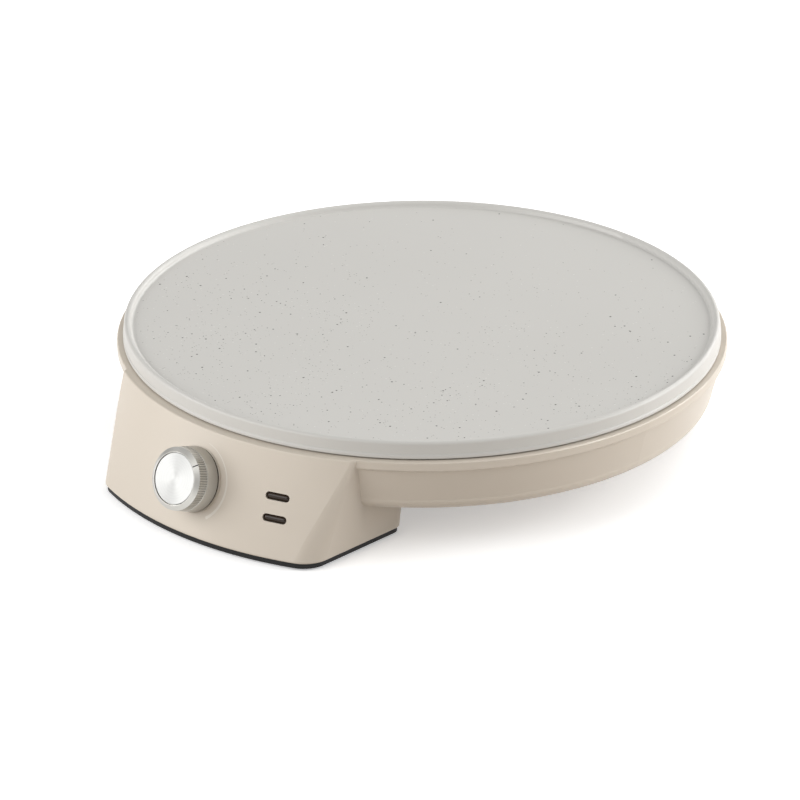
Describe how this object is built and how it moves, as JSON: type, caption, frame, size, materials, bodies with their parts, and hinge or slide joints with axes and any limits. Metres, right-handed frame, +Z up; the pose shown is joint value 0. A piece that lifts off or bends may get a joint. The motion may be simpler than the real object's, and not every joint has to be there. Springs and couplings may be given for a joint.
{
  "type": "crepe maker",
  "caption": "Countertop electric crepe maker: round rimmed griddle plate on a bowl housing with a raised front pod, thermostat knob, indicator lamps and short rear legs.",
  "frame": {"origin": "centre of the overall bounding box in plan, at the table plane under the feet", "axes": "+Z up, -Y toward the user (the knob side), +X to the right seen from the knob side"},
  "size_m": [0.3164, 0.346, 0.0661],
  "materials": {
    "base_plastic": "matt black moulding",
    "brass_part": "turned brass",
    "ceramic": "glazed ceramic",
    "copper_tube": "drawn copper",
    "disc_metal": "spun concentric brushing",
    "element_sheath": "heat tinted sheath",
    "housing_plastic": "glossy warm beige moulding",
    "hub_plastic": "moulded insert",
    "knob_metal": "satin turned and knurled",
    "lens_smoked": "dark smoked translucent",
    "neon_glass": "clear glass capsule",
    "nylon_natural": "natural nylon",
    "phenolic": "phenolic moulding",
    "plate_coating": "speckled ceramic non-stick coating on cast aluminium",
    "rubber_black": "moulded rubber",
    "silicone_lead": "insulated wire",
    "steel_plated": "zinc plated",
    "steel_sheet": "aluminised sheet",
    "trim_black": "matt trim washer",
    "white_plastic": "moulded carrier"
  },
  "bodies": {
    "base": {"base_cover": "base_plastic", "base_screws": "steel_plated", "block_screws": "steel_plated", "capillary_tube": "copper_tube", "clamp_screws": "steel_plated", "clip_screws": "steel_plated", "cord_clamp": "nylon_natural", "cord_gland": "rubber_black", "earth_tag": "brass_part", "element_insulators": "ceramic", "element_pins": "steel_plated", "element_straps": "steel_sheet", "front_feet": "rubber_black", "fuse_clip": "steel_sheet", "griddle_plate": "plate_coating", "heat_shield": "steel_sheet", "heating_element": "element_sheath", "housing": "housing_plastic", "indicator_lens_lower": "lens_smoked", "indicator_lens_upper": "lens_smoked", "knob_ring": "trim_black", "lamp_holder": "white_plastic", "lamp_screw": "steel_plated", "lead_wires": "silicone_lead", "neon_lamps": "neon_glass", "plate_screws": "steel_plated", "post_sleeves": "ceramic", "rear_feet": "rubber_black", "sensor_bulb": "copper_tube", "sensor_clip": "steel_sheet", "strap_screws": "steel_plated", "terminal_block": "nylon_natural", "terminal_screws": "brass_part", "thermal_fuse": "steel_plated", "thermostat_body": "phenolic", "thermostat_bracket": "steel_sheet", "thermostat_screws": "steel_plated", "thermostat_tabs": "brass_part"},
    "knob": {"control_knob": "knob_metal", "knob_disc": "disc_metal", "knob_hub": "hub_plastic", "thermostat_shaft": "steel_plated"}
  },
  "joints": [
    {"name": "knob_turn", "type": "hinge", "parent": "base", "child": "knob", "pos_m": [0, -0.15381, 0.0313], "axis": [0, -0.9421, 0.3355], "range_deg": [-87, 183]}
  ]
}
